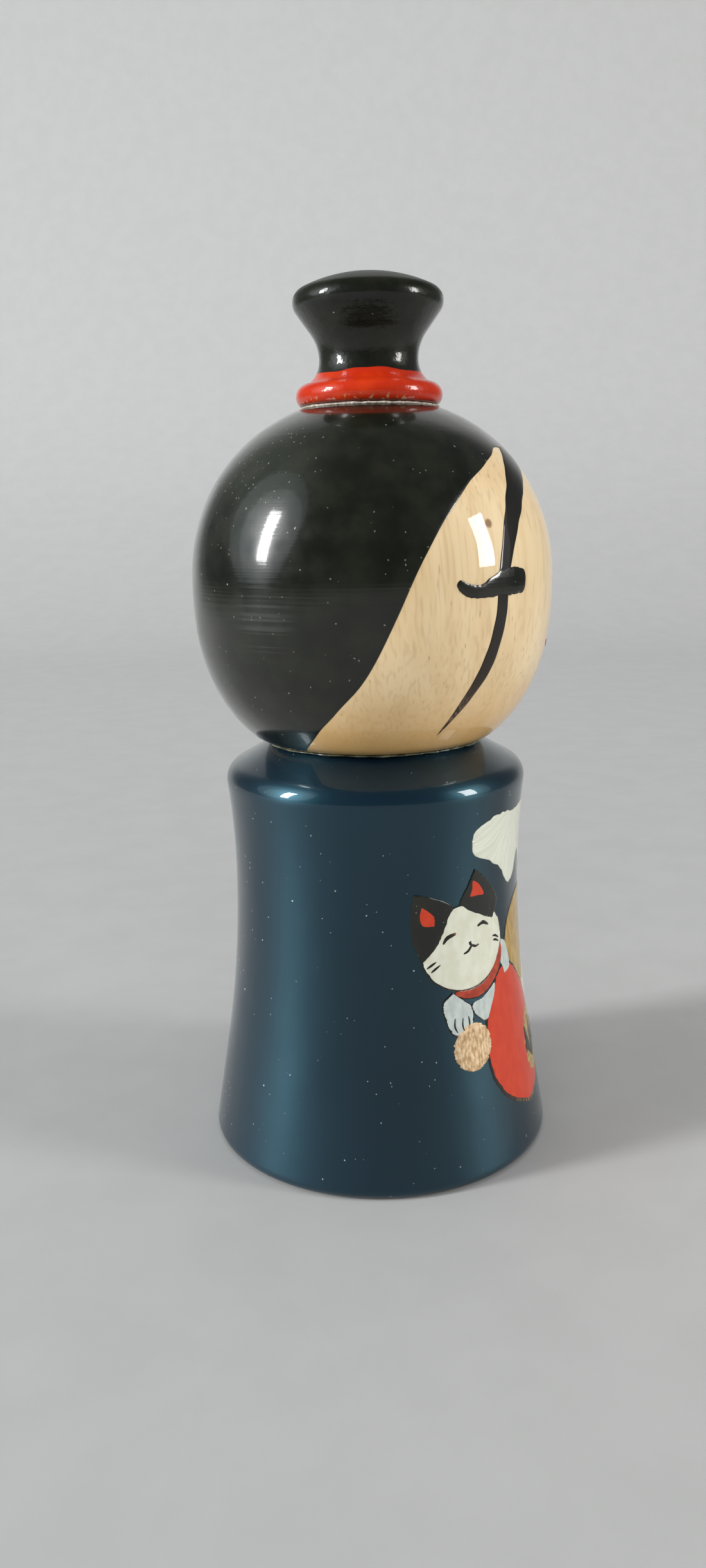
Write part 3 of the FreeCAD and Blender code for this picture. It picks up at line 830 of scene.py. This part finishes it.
# Painted shadow: the ring's underside, where it meets the crown, is painted near black-brown.
painted_shadow_under_ring = ranged(tree, height_up, CROWN_Z + 0.30 * MM, CROWN_Z + 0.75 * MM, 0.92, 0.0)
red = mixed(tree, painted_shadow_under_ring, red, (0.035, 0.014, 0.009, 1))
both = mixed(tree, is_black, red, soot)
coloured(tree, shader, mixed(tree, sums(tree, "MULTIPLY", specks, 0.45), both, (0.55, 0.55, 0.52, 1)))
marks = turning_lines(tree, place, 1200.0)
pitted = sums(tree, "MULTIPLY_ADD", chip, 1.6, marks)
bumped(tree, shader, sums(tree, "MULTIPLY_ADD", specks, 3.0, pitted), 0.025 * MM)
# Handling has dulled the dome.
dome_dull = ranged(tree, height_up, CROWN_Z + 13.4 * MM, CROWN_Z + 14.0 * MM, 1.0, 0.2)
tree.links.new(dome_dull, shader.inputs["Coat Weight"])

topknot = turned("flared_topknot", evened(topknot_path(), 0.14 * MM))
topknot.data.materials.append(knot_paint)
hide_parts("topknot")
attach(topknot, "head_and_topknot")


# Dust and dried glue gathered in the crease under the ring.
grit, tree, shader, place = lacquered("crease_grit", {"Coat Weight": 0.3, "Roughness": 0.9})
grains = noise(tree, place, 2500.0, 3.0)
glue = mixed(tree, ranged(tree, grains, 0.42, 0.58), (0.38, 0.31, 0.25, 1), (0.62, 0.57, 0.50, 1))
coloured(tree, shader, glue)
bumped(tree, shader, grains, 0.1 * MM)
crease_radius = CROWN_RADIUS - 0.1 * MM
crease_line = bead("crease_grit", crease_radius, CROWN_Z + 0.05 * MM, 0.42 * MM, 0.19 * MM, 52, wobble=0.2)
crease_line.data.materials.append(grit)
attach(crease_line, "head_and_topknot")


# ---- Robe picture: the painters ----
# The picture is laid on the dark blue in flat patches of thick paint, each brushed over the one before,
# and sealed under the same clear lacquer. Every patch here is a thin closed piece sunk in the robe.


def filled(name, one_side, other_side, top, seed=1, wobble=0.06, steps=110, columns=64, sink=PAINT_SINK):
    """A patch of paint between two lines of (bearing, height in mm) that start and end together.

    Both lines are made smooth, moved by a small ripple, and joined straight across. The patch is top high,
    rounded down at its rim, and closed underneath by a sheet sunk in the robe.
    """
    turn = np.linspace(0, 2 * math.pi, steps)
    first, second = flowing(one_side, steps), flowing(other_side, steps)
    middle, reach = (first + second) / 2, (first - second) / 2
    length = np.hypot(np.radians(reach[:, 0]) * WAIST_RADIUS / MM, reach[:, 1])
    grow = np.clip(wobble * ripple(turn, seed, 20, 5) / np.maximum(length, 0.5), -0.3, 0.3)
    round_ = np.linspace(0, 2 * math.pi, columns, endpoint=False)
    spot = middle[:, None, :] + reach[:, None, :] * (1 + grow)[:, None, None] * np.cos(round_)[None, :, None]
    ends = np.clip(1 - np.abs(2 * np.linspace(0, 1, steps) - 1) ** 30, 0, 1) ** 0.5
    rise = lens(round_, top, sink, 0.4)
    body = laid_on(robe_wall, spot[..., 0], spot[..., 1] * MM, rise[None, :] * ends[:, None])
    tips = laid_on(robe_wall, middle[[0, -1], 0], middle[[0, -1], 1] * MM, 0.0)
    along = np.linspace(0, 1, steps)[1:-1, None] + 0 * round_
    across = 0 * along + np.cos(round_) / 2 + 0.5
    values = {"along": [*along.ravel(), 0.0, 1.0], "across": [*across.ravel(), 0.5, 0.5]}
    return closed_skin(name, body[1:-1], tips, values)


def oval_sides(centre, half_width, half_height, lean=0.0):
    """The left and right halves of an oval in mm around a (bearing, height), leaning by lean degrees."""
    turn = np.linspace(0, math.pi, 15)
    angle = math.radians(lean)
    sides = []
    for way in (-1, 1):
        u, v = way * half_width * np.sin(turn), half_height * np.cos(turn)
        u, v = u * math.cos(angle) + v * math.sin(angle), v * math.cos(angle) - u * math.sin(angle)
        sides.append(np.stack([centre[0] + np.degrees(u / (WAIST_RADIUS / MM)), centre[1] + v], -1))
    return sides


FAN_MIDDLE = 0.45  # where along a patch its fanned strokes start
FAN_SPREAD = 3.4  # how many times as long as it is high such a patch is


def paint(name, deep, light, streak_scale=(900, 900, 300), ridge=0.03 * MM, strokes=0.0, **constants):
    """Brushed paint under gloss: ridged streaks between two colours.

    The streaks run along Z. If strokes is given, they fan out downwards from above the patch instead,
    with that many to a radian.
    """
    material, tree, shader, place = lacquered(name, {"Coat Roughness": 0.04, **constants})
    run = stretched(tree, place, streak_scale)
    if strokes:
        along = value_of(tree, "along")
        across = value_of(tree, "across")
        beside = sums(tree, "MULTIPLY_ADD", along, FAN_SPREAD, -FAN_MIDDLE * FAN_SPREAD)
        angle = sums(tree, "ARCTAN2", beside, sums(tree, "SUBTRACT", 1.15, across))
        crossing = {"X": sums(tree, "MULTIPLY", angle, strokes), "Y": sums(tree, "MULTIPLY", across, 1.2)}
        run = node(tree, "CombineXYZ", crossing).outputs["Vector"]
    streaks = noise(tree, run, detail=4.0)
    coloured(tree, shader, mixed(tree, ranged(tree, streaks, 0.32, 0.68), deep, light))
    bumped(tree, shader, streaks, ridge)
    return material


def on_robe(piece, material):
    """Gives a piece of the robe's picture its paint and the robe to ride on."""
    piece.data.materials.append(material)
    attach(piece, "robe")


def patch(name, sides, material, lift, seed, wobble=0.06):
    """A patch of the robe's picture between two lines, lift mm high."""
    on_robe(filled(name, *sides, lift * MM, seed, wobble), material)


def stroke(name, route, material, half_widths, lift, seed=1, steps=90):
    """A brush stroke of the robe's picture, lift mm high."""
    on_robe(brush_stroke(name, robe_wall, route, half_widths, lift * MM, seed, steps), material)


def enlarged(sides, share):
    """Both lines of a patch, moved out from its middle."""
    middle = np.mean(sides[0] + sides[1], axis=0)
    return [middle + (np.asarray(side) - middle) * share for side in sides]


# ---- Robe picture: snow cap, disc, figures ----
# Behind everything are a ragged white snow cap near the shoulder and an ochre disc. In front of the
# disc stand a cream figure and a round red one with a patch of gold leaf.

snow_white = paint("snow_white", (0.70, 0.72, 0.60, 1), (0.82, 0.84, 0.71, 1), ridge=0.14 * MM, strokes=16.0)
cream = paint("cream", (0.70, 0.70, 0.56, 1), (0.78, 0.79, 0.66, 1), (700, 700, 500))
picture_red = paint("picture_red", (0.58, 0.041, 0.012, 1), (0.63, 0.055, 0.018, 1), (700, 700, 500),
                    0.01 * MM)
ochre = paint("ochre", (0.36, 0.22, 0.055, 1), (0.52, 0.34, 0.095, 1), (1500, 1500, 500))
leaf_gold = paint("leaf_gold", (0.40, 0.25, 0.05, 1), (0.78, 0.56, 0.17, 1), (2200, 2200, 2200), Metallic=0.6)

SNOW_TOP = [(-44.5, 47.4), (-42.8, 48.7), (-35, 49.8), (-27, 50.2), (-18, 49.8), (-8, 50.0), (2, 49.8),
            (13, 50.1), (22, 49.4), (28.5, 47.4)]
SNOW_EDGE = [(-44.5, 47.4), (-43, 45.4), (-34, 43.9), (-26.5, 42.2), (-20.5, 39.7), (-14.5, 40.2),
             (-7, 43.2), (3, 39.4), (14, 43.0), (28.5, 47.4)]
patch("snow_cap", (SNOW_TOP, SNOW_EDGE), snow_white, 0.10, 3, 0.10)

DISC_CENTRE = (-4.0, 30.4)
patch("disc_outline", oval_sides(DISC_CENTRE, 7.35, 7.35), stroke_black, 0.03, 4, 0.08)
patch("ochre_disc", oval_sides(DISC_CENTRE, 7.0, 7.0), ochre, 0.06, 5, 0.05)
patch("cream_figure", oval_sides((9.0, 20.0), 7.2, 9.0), cream, 0.07, 6)

RED_LEFT = [(-24.5, 28.4), (-30, 27.8), (-34.5, 25.2), (-38.8, 21.5), (-39.4, 16.5), (-36, 12.3), (-29, 9.4),
            (-17, 7.1)]
RED_RIGHT = [(-24.5, 28.4), (-19, 27.6), (-12, 25.2), (-4, 21.8), (3, 17.5), (3.5, 12.5), (-4, 8.6),
             (-17, 7.1)]
patch("red_figure_outline", enlarged((RED_LEFT, RED_RIGHT), 1.035), stroke_black, 0.085, 7)
patch("red_figure", (RED_LEFT, RED_RIGHT), picture_red, 0.10, 7)
patch("gold_leaf", oval_sides((-5.0, 14.5), 3.3, 4.7, 8), leaf_gold, 0.13, 8, 0.25)
LEAF_TIPS = {"left": (-12.0, 17.2), "low_left": (-12.8, 13.2), "middle": (-4.5, 18.0), "right": (1.4, 16.8),
             "low_right": (2.6, 12.9)}
for leaf_name, tip in LEAF_TIPS.items():
    route = [(-5.0, 11.4), ((tip[0] * 2 - 5) / 3, 14.2), tip]
    stroke(leaf_name + "_ornament_leaf", route, stroke_black, (0.15, 0.95, 0.2), 0.16, steps=40)


# ---- Robe picture: the cat ----
# A simple lucky cat leans out on the doll's right. It has a round cream face, a black patch over each
# ear, closed smiling eyes, a red collar, a raised arm and two paws that hold a coppery coin.

CAT_BEARING, CAT_HEIGHT = -46.5, 33.0


def from_cat(points):
    """Turns mm to the right of and above the middle of the cat's face into (bearing, height in mm)."""
    points = np.asarray(points, float)
    bearing = CAT_BEARING + np.degrees(points[:, 0] / (WAIST_RADIUS / MM + 0.25))
    return np.stack([bearing, CAT_HEIGHT + points[:, 1]], -1)


paw_white = paint("paw_white", (0.48, 0.54, 0.52, 1), (0.60, 0.66, 0.62, 1), (1200, 1200, 700))
collar_red = paint("collar_red", (0.34, 0.035, 0.015, 1), (0.52, 0.07, 0.03, 1), (900, 900, 900))
coin_copper = paint("coin_copper", (0.48, 0.30, 0.14, 1), (0.88, 0.66, 0.42, 1), (2600, 2600, 1100),
                    Metallic=0.5)

RAISED_ARM = ([(-27.1, 32.2), (-28.2, 29.7), (-25.5, 27.0)],
              [(-27.1, 32.2), (-23.2, 31.2), (-20.6, 27.6), (-25.5, 27.0)])
patch("raised_arm", RAISED_ARM, paw_white, 0.12, 11, 0.03)

LEFT_PAW = ([(-2.6, -6.0), (-4.1, -7.2), (-3.9, -9.2), (-2.9, -11.6), (-1.0, -12.2)],
            [(-2.6, -6.0), (-0.9, -7.4), (0.3, -8.6), (0.3, -10.8), (-1.0, -12.2)])
RIGHT_PAW = ([(5.0, -6.4), (2.4, -7.8), (0.5, -8.2), (0.8, -9.6), (2.3, -11.0)],
             [(5.0, -6.4), (5.0, -7.8), (4.3, -9.4), (3.2, -10.9), (2.3, -11.0)])
for paw_name, sides, lift in (("right_paw", RIGHT_PAW, 0.09), ("left_paw", LEFT_PAW, 0.12)):
    outline = map(from_cat, enlarged(sides, 1.05))
    patch(paw_name + "_outline", outline, stroke_black, lift - 0.02, 12, 0.05)
    patch(paw_name, map(from_cat, sides), paw_white, lift, 13, 0.03)

face_centre = (CAT_BEARING, CAT_HEIGHT)
patch("cat_face_outline", oval_sides(face_centre, 7.05, 6.05), stroke_black, 0.10, 14, 0.06)
patch("cat_face", oval_sides(face_centre, 6.9, 5.9), cream, 0.13, 14, 0.06)
LEFT_EAR = ([(-7.9, 8.3), (-8.4, 5.2), (-8.1, 1.7), (-6.9, -1.2)],
            [(-7.9, 8.3), (-5.7, 7.7), (-2.4, 6.1), (-2.8, 4.4), (-4.0, 1.8), (-5.2, 0.3), (-6.9, -1.2)])
RIGHT_EAR = ([(1.4, 10.5), (0.3, 8.6), (-1.2, 5.6), (2.2, 3.8), (5.0, 2.8)],
             [(1.4, 10.5), (3.0, 9.3), (5.1, 7.2), (6.2, 5.0), (5.0, 2.8)])
patch("left_ear", map(from_cat, LEFT_EAR), black, 0.16, 15, 0.05)
patch("right_ear", map(from_cat, RIGHT_EAR), black, 0.16, 16, 0.05)
LEFT_INNER = ([(-6.9, 6.5), (-7.3, 5.0), (-6.9, 3.7), (-5.1, 3.7)],
              [(-6.9, 6.5), (-5.6, 5.9), (-4.8, 5.2), (-5.1, 3.7)])
RIGHT_INNER = ([(1.0, 9.0), (0.5, 8.0), (0.5, 6.8)],
               [(1.0, 9.0), (2.4, 8.2), (3.5, 6.5), (2.2, 6.6), (0.5, 6.8)])
patch("left_inner_ear", map(from_cat, LEFT_INNER), picture_red, 0.18, 17, 0.03)
patch("right_inner_ear", map(from_cat, RIGHT_INNER), picture_red, 0.18, 18, 0.03)

FACE_STROKES = {
    "left_cat_eye": ([(-3.9, 1.0), (-3.2, 1.8), (-1.8, 2.2)], (0.14, 0.32, 0.22)),
    "right_cat_eye": ([(1.8, 2.4), (2.9, 2.7), (4.1, 2.1)], (0.18, 0.3, 0.12)),
    "cat_nose": ([(0.4, 0.6), (0.5, 0.25), (0.75, -0.05)], (0.28, 0.24, 0.2)),
    "cat_mouth": ([(-0.8, -0.95), (0.1, -0.65), (0.75, -0.05), (1.35, -0.25), (2.1, -0.15)],
                  (0.12, 0.22, 0.2, 0.2, 0.12)),
    "left_whisker_upper": ([(-6.3, -2.0), (-5.6, -1.6), (-4.9, -1.2)], (0.08, 0.18, 0.08)),
    "left_whisker_lower": ([(-5.7, -2.6), (-5.1, -2.2), (-4.3, -1.7)], (0.08, 0.18, 0.08)),
    "right_whisker_upper": ([(4.9, 0.2), (5.6, 0.1), (6.4, -0.4)], (0.08, 0.18, 0.08)),
    "right_whisker_lower": ([(5.0, -0.4), (5.6, -0.5), (6.4, -0.9)], (0.08, 0.18, 0.08)),
}
for stroke_name, (route, widths) in FACE_STROKES.items():
    stroke(stroke_name, from_cat(route), stroke_black, widths, 0.17, steps=40)

COLLAR = [(-2.3, -6.1), (0.2, -6.7), (2.5, -6.5), (4.6, -5.3), (6.3, -3.4), (7.2, -1.2)]
stroke("collar_outline", from_cat(COLLAR), stroke_black, (0.45, 0.80, 0.84, 0.78, 0.5), 0.095, 19)
stroke("collar", from_cat(COLLAR), collar_red, (0.35, 0.70, 0.74, 0.68, 0.4), 0.115, 19)
CLAWS = {
    "outer": [(-2.5, -9.4), (-2.6, -10.6), (-2.2, -11.6)],
    "middle": [(-1.3, -9.6), (-1.4, -10.7), (-1.1, -11.8)],
    "inner": [(-0.4, -9.6), (-0.3, -10.4), (-0.3, -11.2)],
}
for claw_name, route in CLAWS.items():
    stroke(claw_name + "_claw", from_cat(route), stroke_black, (0.08, 0.15, 0.08), 0.15, steps=30)
coin_centre = from_cat([(0.15, -14.1)])[0]
patch("coin", oval_sides(coin_centre, 3.05, 3.3), coin_copper, 0.18, 20, 0.14)


# ---- Pegs ----
# Plain beech dowels. The thick one is glued in the head and turns in the robe's socket, and the thin
# one is glued in the head and the topknot. Both are hidden once the doll is together.

dowel_wood, tree, shader, place = lacquered("bare_dowel", {"Coat Weight": 0.0, "Roughness": 0.75})
dowel_tones = {"Pale": (0.70, 0.54, 0.33, 1), "Warm": (0.58, 0.42, 0.23, 1)}
wood_parts = grouped(tree, beech, {"Place": place, **dowel_tones})
coloured(tree, shader, wood_parts["Color"])
bumped(tree, shader, wood_parts["Height"], 0.02 * MM)
for peg_name in ("neck_peg", "topknot_peg"):
    peg_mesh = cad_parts[peg_name].data
    peg_mesh.materials.clear()
    peg_mesh.materials.append(dowel_wood)
